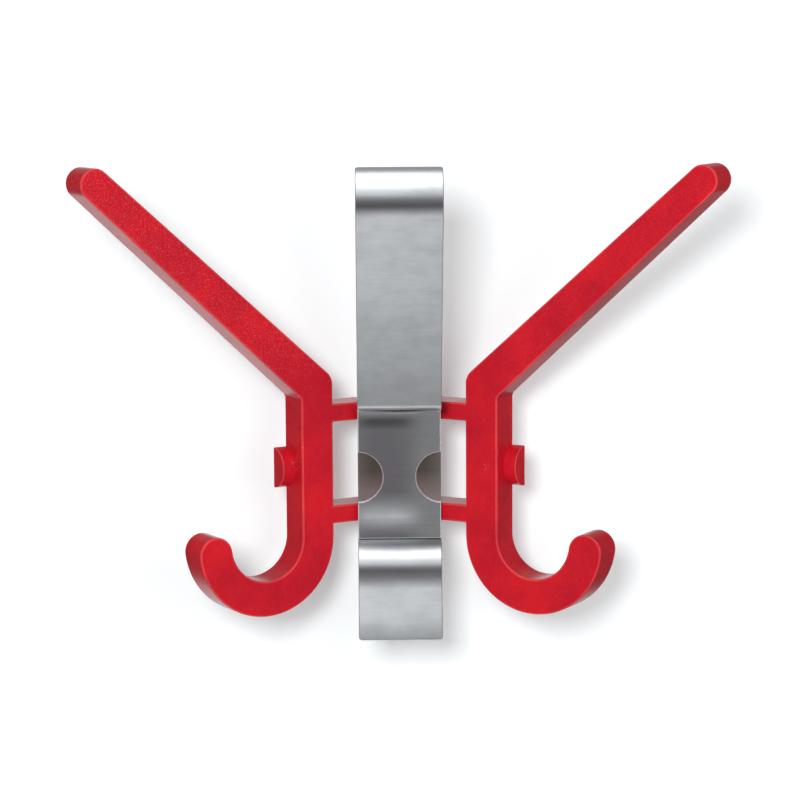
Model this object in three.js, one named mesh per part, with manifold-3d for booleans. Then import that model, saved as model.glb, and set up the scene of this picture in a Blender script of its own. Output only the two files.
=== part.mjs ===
// Wall hook: a moulded double hook held in a bent steel strip.
// Millimetres, +Z up, +X to the right. The wall is the plane Y = 0 and the hook faces -Y.
// The origin is on the back of the wall plate, midway between the two wall screws.

import * as THREE from 'three';
import { mergeVertices } from 'three/addons/utils/BufferGeometryUtils.js';
import Module from 'manifold-3d';

const wasm = await Module();
wasm.setup();

// Clearances

const seatGap = 0.3;
const overrun = 30;

// Bracket, bent from one steel strip

const stripWidth = 40;
const stripThickness = 2.5;
const stripCornerRadius = 1.6;
const upperShelf = 22.6;
const wallBendRadius = 4.2;
const upperShelfOverhang = 14.5;
const bladeFootRadius = 4.5;
const bladeLength = 103.7;
const bladeLeanLow = 19.5;
const bladeLeanHigh = 34;
const curlRadius = 15;
const curlLean = 72;
const lowerShelfDrop = 8;
const lowerShelfOverhang = 2;
const crestRadius = 12.4;
const flapHeel = 183;
const flapWaistRadius = 30;
const flapLean = 165;
const flapRun = 13.5;
const flapTailRadius = 100;
const flapTailLean = 171;

// Double hook moulding, two flat hooks joined in a V by two rungs. The upper rung is notched for
// the shelf that lies on it.

const hookYaw = 30;
const limbSection = 17;
const edgeRound = 1;
const foldFlatHalf = 1;
const foldBendRelief = 1.4;
const stemInner = 36.5;
const rungHeight = 8.6;
const rungSpacing = 49.4;
const rungNotch = 1.7;
const jawRadius = 19;
const jawBelowRung = 9.8;
const jawTipDip = 7.6;
const elbowInnerRise = 17.4;
const elbowOuterRise = 8.2;
const elbowInnerFillet = 7;
const elbowOuterFillet = 3;
const armTipAcross = 121.5;
const armTipRise = 96.2;
const armTipRadius = 7.4;
const bossDiameter = 19.5;
const bossStandOut = 6.3;
const bossBelowMiddle = 1.9;
const bossEdgeRound = 0.6;

// Retaining spring, the leaf that holds the moulding's rungs in the bracket

const springThickness = 2;
const springHeelRadius = 4;
const springReturn = 15;

// Cover plate, held between the shelves

const coverThickness = 1.2;
const coverLipRadius = 58;
const coverHollowRadius = 68;
const coverLean = 10.5;
const coverFlareStart = 10.9;
const coverFlareRadius = 28;
const coverTopDip = 2;
const fingerNotchRadius = 12;
const fingerNotchHeight = -12;

// Wall screws, countersunk with a cross recess

const screwHeight = 10;
const screwShankRadius = 2.25;
const screwHeadRadius = 4.2;
const screwRecessWidth = 1;
const screwRecessLength = 4.6;
const screwRecessDepth = 1.2;

// Facets

const roundStep = 7.5;
const cornerAngles = [0, 30, 50, 70, 90];
const facetSag = 0.04;
const screwSides = 32;
const dipSides = 128;
const halvings = 40;
const leastStationShare = 0.00025;
const leastPointShare = 0.02;

const { degToRad, radToDeg } = THREE.MathUtils;
const halfWidth = stripWidth / 2;
const yaw = degToRad(hookYaw);

// Heights of the rungs and of the shelf below them

const upperRung = upperShelf - seatGap + rungNotch - rungHeight / 2;
const lowerRung = upperRung - rungSpacing;
const rungMiddle = (upperRung + lowerRung) / 2;
const lowerShelf = lowerRung - rungHeight / 2 - lowerShelfDrop;

// Distances in front of the wall

const foldBack = stripThickness + seatGap;
const foldFront = foldBack + limbSection / Math.cos(yaw) - foldFlatHalf * Math.tan(yaw);
const rungFront = foldFront + halfWidth * Math.tan(yaw);
const springFront = rungFront + seatGap + springThickness;
const coverWaist = springFront + seatGap + coverThickness;

// Turns a closed geometry into a solid for joining and cutting.
function solidOf(geometry) {
  const bare = geometry.clone();
  bare.deleteAttribute('normal');
  bare.deleteAttribute('uv');
  const merged = mergeVertices(bare);
  return new wasm.Manifold(new wasm.Mesh({
    numProp: 3,
    vertProperties: Float32Array.from(merged.attributes.position.array),
    triVerts: Uint32Array.from(merged.index.array),
  }));
}

// Turns a solid back into a geometry.
function geometryOf(solid) {
  const mesh = solid.getMesh();
  const geometry = new THREE.BufferGeometry();
  geometry.setAttribute('position', new THREE.BufferAttribute(Float32Array.from(mesh.vertProperties), 3));
  geometry.setIndex(new THREE.BufferAttribute(Uint32Array.from(mesh.triVerts), 1));
  return geometry;
}

// Mirrors a geometry left to right and keeps its faces pointing out.
function mirrored(geometry) {
  const copy = geometry.clone().applyMatrix4(new THREE.Matrix4().makeScale(-1, 1, 1));
  const order = copy.index.array;
  for (let i = 0; i < order.length; i += 3) {
    [order[i + 1], order[i + 2]] = [order[i + 2], order[i + 1]];
  }
  return copy;
}

// A bent centre line in the Y-Z plane. Headings are degrees from straight up towards the front,
// so 90 runs away from the wall and 180 runs down. A piece is a straight run or a bend to a
// heading, and the piece with a start places the whole line.
function bentLine(heading, pieces) {
  const stretches = [];
  let forward = 0;
  let height = 0;
  let turned = heading;
  let length = 0;
  let shift = [0, 0];
  for (const piece of pieces) {
    if (piece.start) shift = [piece.start[0] - forward, piece.start[1] - height];
    const target = piece.to ?? turned;
    const sweep = degToRad(target - turned);
    const span = piece.run ?? Math.abs(sweep) * piece.radius;
    const stretch = { from: length, span, forward, height, heading: degToRad(turned), sweep };
    stretches.push(stretch);
    ({ forward, height } = pointOn(stretch, span));
    turned = target;
    length += span;
  }
  for (const stretch of stretches) {
    stretch.forward += shift[0];
    stretch.height += shift[1];
  }
  return { stretches, length };
}

function pointOn(stretch, distance) {
  const { forward, height, heading, sweep, span } = stretch;
  if (sweep === 0) {
    return {
      forward: forward + distance * Math.sin(heading),
      height: height + distance * Math.cos(heading),
      heading,
    };
  }
  const bend = span / sweep;
  const turned = heading + distance / bend;
  return {
    forward: forward + bend * (Math.cos(heading) - Math.cos(turned)),
    height: height + bend * (Math.sin(turned) - Math.sin(heading)),
    heading: turned,
  };
}

function pointAt(line, distance) {
  const stretch = line.stretches.findLast((s) => s.from <= distance) ?? line.stretches[0];
  return pointOn(stretch, Math.min(distance - stretch.from, stretch.span));
}

// Distances along the line that its bends need, with the ones that the edges need added.
function stationsAlong(line, extra) {
  const stations = [0, line.length, ...extra];
  for (const { from, span, sweep } of line.stretches) {
    const turn = Math.abs(sweep);
    const step = Math.min(degToRad(roundStep), Math.sqrt(8 * facetSag * turn / span));
    const parts = Math.max(1, Math.ceil(turn / step));
    for (let i = 0; i <= parts; i++) stations.push(from + span * i / parts);
  }
  stations.sort((a, b) => a - b);
  const least = line.length * leastStationShare;
  return stations.filter((s, i) => i === 0 || s - stations[i - 1] > least);
}

// A sheet of one thickness that follows a bent line. halfWidthAt gives half its width at each
// distance, which draws its corners and notches.
function bentSheet(line, thickness, stations, halfWidthAt) {
  const positions = [];
  for (const s of stations) {
    const { forward, height, heading } = pointAt(line, s);
    const w = halfWidthAt(s);
    for (const side of [-1, 1]) {
      const f = forward + side * Math.cos(heading) * thickness / 2;
      const z = height - side * Math.sin(heading) * thickness / 2;
      positions.push(-w, -f, z, w, -f, z);
    }
  }
  const index = [];
  const quad = (a, b, c, d) => index.push(a, b, c, a, c, d);
  const last = (stations.length - 1) * 4;
  for (let i = 0; i < last; i += 4) {
    quad(i + 2, i + 3, i + 7, i + 6);
    quad(i + 1, i, i + 4, i + 5);
    quad(i, i + 2, i + 6, i + 4);
    quad(i + 3, i + 1, i + 5, i + 7);
  }
  quad(0, 1, 3, 2);
  quad(last + 2, last + 3, last + 1, last);
  const geometry = new THREE.BufferGeometry();
  geometry.setAttribute('position', new THREE.BufferAttribute(Float32Array.from(positions), 3));
  geometry.setIndex(index);
  return geometry;
}

// Half the width of a sheet whose four corners are rounded.
function roundedEnds(line, half, radius) {
  return (s) => {
    const inset = radius - Math.min(s, line.length - s);
    return inset > 0 ? half - radius + Math.sqrt(Math.max(0, radius * radius - inset * inset)) : half;
  };
}

function cornerStations(line, radius) {
  const steps = cornerAngles.map((angle) => radius * (1 - Math.cos(degToRad(angle))));
  return steps.flatMap((d) => [d, line.length - d]);
}

// Bracket, from the free end of its curl down the blade, back along the upper shelf, down the
// wall and forward along the lower shelf to the flap.

function bracketLine() {
  const half = stripThickness / 2;
  const bend = wallBendRadius - half;
  const top = upperShelf + stripThickness - wallBendRadius;
  const bottom = lowerShelf - stripThickness + wallBendRadius;
  return bentLine(180 - curlLean, [
    { to: 180 + bladeLeanHigh, radius: curlRadius - half },
    { to: 180 + bladeLeanLow, radius: bladeLength / degToRad(bladeLeanHigh - bladeLeanLow) },
    { to: 270, radius: bladeFootRadius - half },
    { run: coverWaist + upperShelfOverhang - wallBendRadius },
    { to: 180, radius: bend },
    { run: top - bottom, start: [half, top] },
    { to: 90, radius: bend },
    { run: coverWaist + lowerShelfOverhang - wallBendRadius },
    { to: flapHeel, radius: crestRadius - half },
    { to: flapLean, radius: flapWaistRadius },
    { run: flapRun },
    { to: flapTailLean, radius: flapTailRadius },
  ]);
}

// A countersunk shape about the Y axis, as deep as its cone and then its shank, grown by a margin.
function countersunk(margin, shankEnd) {
  const head = screwHeadRadius + margin;
  const shank = screwShankRadius + margin;
  const profile = new THREE.Path();
  profile.moveTo(0, -stripThickness);
  profile.lineTo(head, -stripThickness);
  profile.lineTo(shank, head - shank - stripThickness);
  profile.lineTo(shank, shankEnd);
  profile.lineTo(0, shankEnd);
  return new THREE.LatheGeometry(profile.getPoints(1), screwSides);
}

function wallBracket() {
  const line = bracketLine();
  const stations = stationsAlong(line, cornerStations(line, stripCornerRadius));
  const width = roundedEnds(line, halfWidth, stripCornerRadius);
  let solid = solidOf(bentSheet(line, stripThickness, stations, width));
  for (const height of [-screwHeight, screwHeight]) {
    solid = solid.subtract(solidOf(countersunk(seatGap, overrun).translate(0, 0, height)));
  }
  return geometryOf(solid);
}

// Double hook moulding. One hook is drawn flat, u along its plate from the fold and v up.

function filletedPath(points) {
  const path = new THREE.Path();
  points.forEach((point, i) => {
    const { u, v, fillet, arc } = point;
    if (arc) {
      path.absarc(arc.u, arc.v, arc.radius, arc.from, arc.to, arc.clockwise);
    } else if (fillet) {
      const into = new THREE.Vector2(u, v).sub(path.currentPoint).normalize();
      const next = points[(i + 1) % points.length];
      const away = new THREE.Vector2(next.entry.u - u, next.entry.v - v).normalize();
      const half = Math.acos(THREE.MathUtils.clamp(-into.dot(away), -1, 1)) / 2;
      const back = fillet / Math.tan(half);
      path.lineTo(u - into.x * back, v - into.y * back);
      const exit = new THREE.Vector2(u + away.x * back, v + away.y * back);
      roundCorner(path, new THREE.Vector2(u, v), into, away, fillet, half, exit);
    } else {
      path.lineTo(u, v);
    }
  });
  return path;
}

function roundCorner(path, corner, into, away, radius, half, exit) {
  const bisector = away.clone().sub(into).normalize();
  const centre = corner.clone().addScaledVector(bisector, radius / Math.sin(half));
  const from = Math.atan2(path.currentPoint.y - centre.y, path.currentPoint.x - centre.x);
  const to = Math.atan2(exit.y - centre.y, exit.x - centre.x);
  path.absarc(centre.x, centre.y, radius, from, to, into.cross(away) < 0);
}

const stemOuter = stemInner + limbSection;
const jawCentre = { u: stemOuter + jawRadius, v: lowerRung - jawBelowRung };
const elbowInner = { u: stemInner, v: upperRung + elbowInnerRise };
const elbowOuter = { u: stemOuter, v: upperRung + elbowOuterRise };
const armTip = { u: stemInner + armTipAcross, v: elbowInner.v + armTipRise };

// Direction in which a line from a corner touches the round arm tip, above or below it.
function tipTangent(corner, side) {
  const across = armTip.u - corner.u;
  const up = armTip.v - corner.v;
  return Math.atan2(up, across) + side * Math.asin(armTipRadius / Math.hypot(across, up));
}

function hookOutline() {
  const upper = tipTangent(elbowInner, 1);
  const lower = tipTangent(elbowOuter, -1);
  const dip = -degToRad(jawTipDip);
  const middle = jawRadius + limbSection / 2;
  const cap = { u: jawCentre.u + middle * Math.cos(dip), v: jawCentre.v + middle * Math.sin(dip) };
  const pointOnTip = (angle) => ({
    u: armTip.u + armTipRadius * Math.cos(angle),
    v: armTip.v + armTipRadius * Math.sin(angle),
  });
  const jaw = (radius, from, to, clockwise) => ({ arc: { ...jawCentre, radius, from, to, clockwise } });
  const quarter = Math.PI / 2;
  const outline = filletedPath([
    jaw(jawRadius + limbSection, Math.PI, Math.PI * 2 + dip, false),
    { arc: { ...cap, radius: limbSection / 2, from: dip, to: Math.PI + dip, clockwise: false } },
    jaw(jawRadius, dip, -Math.PI, true),
    { ...elbowOuter, fillet: elbowOuterFillet },
    {
      entry: pointOnTip(lower - quarter),
      arc: { ...armTip, radius: armTipRadius, from: lower - quarter, to: upper + quarter, clockwise: false },
    },
    { ...elbowInner, fillet: elbowInnerFillet },
    { entry: { u: stemInner, v: jawCentre.v }, u: stemInner, v: jawCentre.v },
  ]);
  return evenPoints(outline);
}

// Points of a path with its arcs divided by angle and its straight stretches left whole.
function evenPoints(path) {
  const points = [];
  for (const curve of path.curves) {
    const turn = curve.isEllipseCurve ? Math.abs(curve.getTangent(0).angleTo(curve.getTangent(0.5))) * 2 : 0;
    const parts = Math.max(1, Math.ceil(radToDeg(turn) / roundStep));
    for (let i = 0; i < parts; i++) points.push(curve.getPoint(i / parts));
  }
  const least = edgeRound * leastPointShare;
  return points.filter((p, i) => p.distanceTo(points[(i + 1) % points.length]) > least);
}

// A plate of the moulding: an outline in u and v, as thick as the limbs, with rounded edges.
function mouldedPlate(points, thickness, round) {
  const geometry = new THREE.ExtrudeGeometry(new THREE.Shape(points), {
    depth: thickness - 2 * round,
    bevelEnabled: true,
    bevelThickness: round,
    bevelSize: round,
    bevelOffset: -round,
    bevelSegments: 2,
    curveSegments: 1,
  });
  return geometry.translate(0, 0, round);
}

function rectangle(left, right, low, high) {
  return [[left, low], [right, low], [right, high], [left, high]].map(([u, v]) => new THREE.Vector2(u, v));
}

// Stands a flat hook up in its yawed plane, with its front face through the fold.
function intoPlane(geometry) {
  return geometry
    .translate(0, 0, -limbSection)
    .rotateX(Math.PI / 2)
    .rotateZ(-yaw)
    .translate(0, -foldFront, 0);
}

function rung(height) {
  const inner = -limbSection * Math.tan(yaw);
  const outer = stemInner + limbSection / 2;
  return mouldedPlate(
    rectangle(inner, outer, height - rungHeight / 2, height + rungHeight / 2), limbSection, edgeRound);
}

// A half-round boss on the stem's outer side, flat at the back and round to the front.
function boss() {
  const half = new THREE.Path();
  half.absarc(0, 0, bossDiameter / 2, 0, Math.PI, false);
  const points = half.getPoints(Math.ceil(180 / roundStep));
  const buried = limbSection / 2;
  const up = new THREE.Vector3(0, 1, 0);
  const front = new THREE.Vector3(0, 0, 1);
  const along = new THREE.Vector3(1, 0, 0);
  return mouldedPlate(points, bossStandOut + buried, bossEdgeRound)
    .applyMatrix4(new THREE.Matrix4().makeBasis(up, front, along))
    .translate(stemOuter - buried, rungMiddle - bossBelowMiddle, 0);
}

function hookSolid() {
  const parts = [mouldedPlate(hookOutline(), limbSection, edgeRound), rung(upperRung), rung(lowerRung), boss()];
  return parts.map((part) => solidOf(intoPlane(part))).reduce((whole, part) => whole.add(part));
}

function doubleHook() {
  const right = hookSolid();
  const left = solidOf(mirrored(geometryOf(right)));
  const seat = new THREE.BoxGeometry(stripWidth, overrun, 2 * rungSpacing)
    .translate(0, overrun / 2 - foldBack, 0);
  const bend = new THREE.BoxGeometry(stripWidth, overrun, wallBendRadius)
    .translate(0, overrun / 2 - foldBack - foldBendRelief, upperShelf - wallBendRadius / 2 + seatGap);
  const notch = new THREE.BoxGeometry(stripWidth + 2 * seatGap, 2 * (rungFront + overrun), overrun)
    .translate(0, 0, upperShelf - seatGap + overrun / 2);
  const cuts = [seat, bend, notch].map(solidOf);
  return geometryOf(cuts.reduce((whole, cut) => whole.subtract(cut), right.add(left)));
}

// Retaining spring. Its front stretch stands in front of both rungs, from shelf to shelf. It turns
// back along the lower shelf and ends in a loop that bears the lower rung up.

function retainingSpring() {
  const half = springThickness / 2;
  const top = upperShelf - seatGap;
  const heel = lowerShelf + seatGap + springHeelRadius;
  const loopRadius = (lowerShelfDrop - 2 * seatGap) / 2;
  const sole = springFront - springHeelRadius - foldBack - loopRadius;
  const line = bentLine(180, [
    { run: top - heel, start: [springFront - half, top] },
    { to: 270, radius: springHeelRadius - half },
    { run: sole },
    { to: 450, radius: loopRadius - half },
    { run: springReturn },
  ]);
  const stations = stationsAlong(line, cornerStations(line, stripCornerRadius));
  return bentSheet(line, springThickness, stations, roundedEnds(line, halfWidth, stripCornerRadius));
}

// Cover plate. From its foot on the lower shelf it leans back to a flat waist and flares at the top.

function coverLine() {
  const lean = degToRad(coverLean);
  const foot = lowerShelf + seatGap;
  const bends = coverLipRadius + coverHollowRadius;
  const footForward = bends * (1 - Math.cos(lean));
  const flareRise = upperShelf - seatGap - coverFlareStart;
  const flare = Math.asin(flareRise / (coverFlareRadius + coverThickness));
  return bentLine(0, [
    { to: -coverLean, radius: coverLipRadius, start: [coverWaist - coverThickness / 2 + footForward, foot] },
    { to: 0, radius: coverHollowRadius },
    { run: coverFlareStart - foot - bends * Math.sin(lean) },
    { to: radToDeg(flare), radius: coverFlareRadius },
  ]);
}

// Distance along a line at which it reaches a height, found by halving.
function distanceAtHeight(line, height) {
  let [low, high] = [0, line.length];
  for (let i = 0; i < halvings; i++) {
    const middle = (low + high) / 2;
    if (pointAt(line, middle).height < height) low = middle;
    else high = middle;
  }
  return low;
}

function coverPlate() {
  const line = coverLine();
  const notchAt = distanceAtHeight(line, fingerNotchHeight);
  const round = roundedEnds(line, halfWidth, stripCornerRadius);
  const width = (s) => {
    const off = s - notchAt;
    const depth = Math.sqrt(Math.max(0, fingerNotchRadius * fingerNotchRadius - off * off));
    return Math.min(round(s), halfWidth - depth);
  };
  const notch = [];
  for (let angle = 0; angle <= 180; angle += roundStep) {
    notch.push(notchAt - fingerNotchRadius * Math.cos(degToRad(angle)));
  }
  const stations = stationsAlong(line, [...notch, ...cornerStations(line, stripCornerRadius)]);
  const plate = solidOf(bentSheet(line, coverThickness, stations, width));
  const dipRadius = (halfWidth * halfWidth + coverTopDip * coverTopDip) / (2 * coverTopDip);
  const dip = new THREE.CylinderGeometry(dipRadius, dipRadius, 2 * (coverWaist + overrun), dipSides)
    .translate(0, 0, upperShelf - seatGap - coverTopDip + dipRadius);
  return geometryOf(plate.subtract(solidOf(dip)));
}

// Wall screws. Their shanks are cut off just short of the wall.

function wallScrew(height) {
  const across = new THREE.BoxGeometry(screwRecessLength, 2 * screwRecessDepth, screwRecessWidth);
  const upright = new THREE.BoxGeometry(screwRecessWidth, 2 * screwRecessDepth, screwRecessLength);
  const recess = [across, upright].map((slot) => solidOf(slot.translate(0, -stripThickness, 0)));
  const screw = solidOf(countersunk(0, -seatGap)).subtract(recess[0].add(recess[1]));
  return geometryOf(screw).translate(0, 0, height);
}

// Assembly

const brushedSteel = { color: 0xb4b6ba, roughness: 0.34, metalness: 1 };
const springSteel = { color: 0x8d8a88, roughness: 0.42, metalness: 1 };
const screwSteel = { color: 0xa9abad, roughness: 0.4, metalness: 1 };
const redPlastic = { color: 0xc8202a, roughness: 0.5, metalness: 0 };

function piece(name, geometry, finish) {
  const mesh = new THREE.Mesh(geometry, new THREE.MeshStandardMaterial(finish));
  mesh.name = name;
  return mesh;
}

const wallHook = new THREE.Group();
wallHook.name = 'wall_hook';
wallHook.add(
  piece('wall_bracket', wallBracket(), brushedSteel),
  piece('upper_wall_screw', wallScrew(screwHeight), screwSteel),
  piece('lower_wall_screw', wallScrew(-screwHeight), screwSteel),
  piece('double_hook', doubleHook(), redPlastic),
  piece('retaining_spring', retainingSpring(), springSteel),
  piece('cover_plate', coverPlate(), brushedSteel),
);

export default wallHook;
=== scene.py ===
"""Wall hook: a red double hook held in a folded brushed-steel strip, on a pale studio wall."""
import math
from math import radians

import bpy
from bpy.props import FloatProperty, FloatVectorProperty, PointerProperty
from mathutils import Matrix, Vector


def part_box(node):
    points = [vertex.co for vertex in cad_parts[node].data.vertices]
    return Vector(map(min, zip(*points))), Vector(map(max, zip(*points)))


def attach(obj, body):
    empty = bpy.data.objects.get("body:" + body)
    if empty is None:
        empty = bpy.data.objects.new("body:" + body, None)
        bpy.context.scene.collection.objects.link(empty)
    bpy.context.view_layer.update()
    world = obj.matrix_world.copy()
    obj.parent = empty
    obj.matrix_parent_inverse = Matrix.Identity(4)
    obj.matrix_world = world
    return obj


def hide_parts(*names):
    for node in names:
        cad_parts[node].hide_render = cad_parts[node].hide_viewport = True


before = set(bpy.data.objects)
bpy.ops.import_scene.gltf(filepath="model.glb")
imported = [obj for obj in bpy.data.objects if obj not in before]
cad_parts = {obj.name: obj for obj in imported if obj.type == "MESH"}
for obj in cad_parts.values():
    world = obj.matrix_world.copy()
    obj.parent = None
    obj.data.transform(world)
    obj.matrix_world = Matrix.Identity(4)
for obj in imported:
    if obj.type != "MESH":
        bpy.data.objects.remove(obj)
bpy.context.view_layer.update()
STRIP_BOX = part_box("wall_bracket")
COVER_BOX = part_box("cover_plate")
SPRING_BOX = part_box("retaining_spring")

bl_info = {
    "name": "Wall hook",
    "version": (1, 0, 0),
    "blender": (4, 5, 0),
    "location": "3D View > Sidebar > Wall hook",
    "description": "Builds a folded steel strip that holds a moulded double hook",
    "category": "Object",
}

MM = 0.001
MERGE = 0.02 * MM  # points closer together than this are one point
HERE = 0.01 * MM  # a point this close to a place is at it
AROUND = 0.05 * MM  # and this close, where the place comes from a sum
SHARP = radians(50)  # edges that fold by more than this are rounded
WHITE = (1.0, 1.0, 1.0, 1.0)

# The strip's details: its headings run from straight up towards the front

SCREW_HEIGHTS = (-10 * MM, 10 * MM)
SHANK_HOLE, SHANK_TIP, SCREW_SINK = 2.55 * MM, 2.5 * MM, 5.5 * MM  # radii
CREST_HEADING, FLAP_HEADING, FOOT_HEADING = radians(183), radians(165), radians(171)
FLAP_BEND, FOOT_BEND = 30 * MM, 100 * MM  # radii of the flap's two slight bends
# Between these heights painted shade also darkens the fold's inner side.
CREASE = (-47 * MM, -36 * MM)  # between these heights the crest's steel is stretched

# The cover's and the leaf's details

COVER_GAP = 0.3 * MM  # play between the cover and either shelf
SLIVER = 0.02 * MM  # first run of a sheet that starts with a bend
NOTCH_BREAK, TOP_BREAK = 0.3 * MM, 0.2 * MM  # bevels on the punched edges
LEAF_EDGE = 0.3 * MM  # rounding of the leaf's edges

# The moulding's details

ELBOW_ROUND = (7 * MM, 3 * MM)  # radii of the arm's upper and lower corner
ELBOW_HALF_TURN = radians(24)
RUNG_OVERLAP = 14 * MM  # each rung's run past the middle, before it is cut
SHELF_PLAY = 0.6 * MM  # the rung notch is wider than the strip by this

# The studio in metres, and the photograph's viewpoint

WALL_GAP = 0.2 * MM  # the studio wall stands this far behind the hook
WALL_TOP, WALL_FOOT, WALL_HALF = 2.0, -0.9, 2.2
COVE, FLOOR_RUN = 0.5, 2.5
LAMPS_AIM = Vector((0, -0.04, 0.02))
KEY_PLACE, KEY_SIZE = (-0.25, -1.52, 0.44), 0.34
FILL_PLACE, FILL_SIZE = (0.8, -1.54, 0.22), 0.9
CAMERA_PLACE = Vector((-14.68, -1365.8, 213.3)) * MM
CAMERA_YAW, CAMERA_PITCH, CAMERA_ROLL = radians(0.6543), radians(8.0494), radians(-0.3482)

# Painted light on the spring steel, a rosy reflection low down and paler long edges, and the tints
# in the grain of the red plastic

PAINTED_ROSE_REFLECTION, PAINTED_PALE_EDGES = (0.78, 0.58, 0.6), (0.6, 0.56, 0.53)
GRAIN_TOP, SPARKLE = (0.74, 0.04, 0.05), (0.8, 0.13, 0.15)
PITTED, SPECK = (0.4, 0.003, 0.012), (0.85, 0.32, 0.3)


def length(label, text, default, **limits):
    """A size in metres, given here in millimetres."""
    return FloatProperty(
        name=label, description=text, default=default * MM, unit="LENGTH",
        subtype="DISTANCE", precision=5, **limits)


def lean(label, text, default):
    """An angle, given here in degrees."""
    return FloatProperty(
        name=label, description=text, default=radians(default), unit="ROTATION",
        subtype="ANGLE")


def share(label, text, default, **limits):
    """A plain number."""
    return FloatProperty(name=label, description=text, default=default, **limits)


def colour(label, text, default):
    """A linear colour."""
    return FloatVectorProperty(
        name=label, description=text, default=default, size=3, subtype="COLOR",
        min=0.0, max=1.0)


class HookStripSizes(bpy.types.PropertyGroup):
    """Sizes of the folded strip"""
    width: FloatProperty(
        name="Width", description="Width of the flat stock",
        default=STRIP_BOX[1].x - STRIP_BOX[0].x, unit="LENGTH", subtype="DISTANCE")
    thickness: length("Thickness", "Thickness of the flat stock", 2.5)
    corner: length("Corner radius", "Rounding of the strip's four corners", 1.6)
    edge: length("Edge rounding", "Dressing of the strip's long edges", 0.35)
    upper_shelf: length("Upper shelf", "Height of the upper shelf's underside", 22.6)
    lower_shelf: length("Lower shelf", "Height of the lower shelf's top", -42)
    wall_bend: length("Wall bend", "Outer radius of the two bends at the wall", 4.2)
    blade_bend: length("Blade bend", "Outer radius at the foot of the blade", 4.5)
    upper_reach: length("Upper reach", "From the wall to the blade's bend", 51.695)
    blade: length("Blade", "Length of the blade along its bow", 103.7)
    lean_low: lean("Lean, foot", "Forward lean of the blade at its foot", 19.5)
    lean_high: lean("Lean, head", "Forward lean of the blade below the curl", 34)
    curl: length("Curl", "Outer radius of the curl", 15)
    curl_lean: lean("Curl end", "Backward lean of the curl's free end", 72)
    lower_reach: length("Lower reach", "From the wall to the crest", 39.195)
    crest: length("Crest", "Outer radius of the crest", 12.4)
    flap: length("Flap", "Straight part of the flap", 13.5)


class HookCoverSizes(bpy.types.PropertyGroup):
    """Sizes of the cover plate"""
    thickness: length("Thickness", "Thickness of the plate", 1.2)
    edge: length("Edge rounding", "Rounding of the punched edges", 0.42)
    crown: length("Crown", "How far the long edges fall back from the middle", 1.1)
    lip: length("Lip radius", "Radius of the plate's foot", 58)
    hollow: length("Hollow radius", "Radius between the foot and the flat waist", 68)
    lean: lean("Lean", "Backward lean above the foot", 10.5)
    waist: length("Waist", "Height at which the flat waist ends", 10.9)
    flare: length("Flare radius", "Radius of the flare at the top", 28)
    dip: length("Top dip", "Depth of the hollow in the top edge", 2)
    notch: length("Finger notch", "Radius of the finger notches", 12)
    notch_height: length("Notch height", "Height of the finger notches", -12)


class HookSpringSizes(bpy.types.PropertyGroup):
    """Sizes of the retaining spring"""
    thickness: length("Thickness", "Thickness of the leaf", 2)
    heel: length("Heel", "Outer radius of the bend onto the lower shelf", 4)
    loop: length("Loop", "Outer height of the loop below the lower rung", 7.4)
    bearer: length("Bearer", "Straight stretch that bears the lower rung", 15)


class HookMouldingSizes(bpy.types.PropertyGroup):
    """Sizes of the double hook"""
    yaw: lean("Yaw", "Turn of each hook's plate from the wall", 30)
    section: length("Section", "Side of the square limbs", 17)
    edge: length("Edge rounding", "Rounding of the moulded edges", 0.8)
    fold_front: length("Fold", "From the wall to the front of the fold", 21.852)
    fold_back: length("Fold back", "From the wall to the back of the fold", 2.8)
    stem: length("Stem", "From the fold to the stem's inner side", 36.5)
    rung: length("Rung height", "Height of each rung", 8.6)
    notch: length("Rung notch", "Depth of the notch for the upper shelf", 1.7)
    upper_rung: length("Upper rung", "Height of the upper rung's middle", 19.7)
    lower_rung: length("Lower rung", "Height of the lower rung's middle", -29.7)
    jaw: length("Jaw radius", "Inner radius of the lower hooks", 19)
    jaw_height: length("Jaw height", "Height of the lower hooks' centre", -39.5)
    jaw_dip: lean("Jaw end", "How far the jaw stops short of level", 7.6)
    elbow_inner: length("Inner elbow", "Height of the arm's upper corner", 37.1)
    elbow_outer: length("Outer elbow", "Height of the arm's lower corner", 27.9)
    tip_across: length("Tip across", "From the fold to the arm tip's centre", 158)
    tip_height: length("Tip height", "Height of the arm tip's centre", 133.3)
    tip: length("Tip radius", "Rounding of the arm tip", 7.4)
    boss: length("Boss", "Diameter of the half-round boss", 19.5)
    boss_out: length("Boss reach", "How far the boss stands out", 6.3)
    boss_height: length("Boss height", "Height of the boss", -6.9)


class HookFinishes(bpy.types.PropertyGroup):
    """Colours of the parts and of the studio"""
    plastic: colour("Plastic", "Colour of the moulding", (0.66, 0.011, 0.022))
    # The edges' lighter red is a painted highlight on the rounded edges.
    plastic_edge_highlight: colour("Plastic edges", "Colour of its worn edges", (0.8, 0.058, 0.056))
    steel: colour("Steel", "Colour of the brushed strip", (0.74, 0.76, 0.78))
    cut_edge: colour("Cut edge", "Colour of the punched edges", (0.8, 0.8, 0.82))
    # The spring's dark brown is darkened and warmed to stand in for the shade behind the cover and
    # the red rungs' reflection: painted shade and reflection.
    spring: colour("Spring", "Colour of the retaining spring", (0.28, 0.225, 0.19))
    screw: colour("Screws", "Colour of the wall screws", (0.42, 0.42, 0.43))
    wall: colour("Wall", "Colour of the studio wall", (0.745, 0.782, 0.796))


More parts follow.
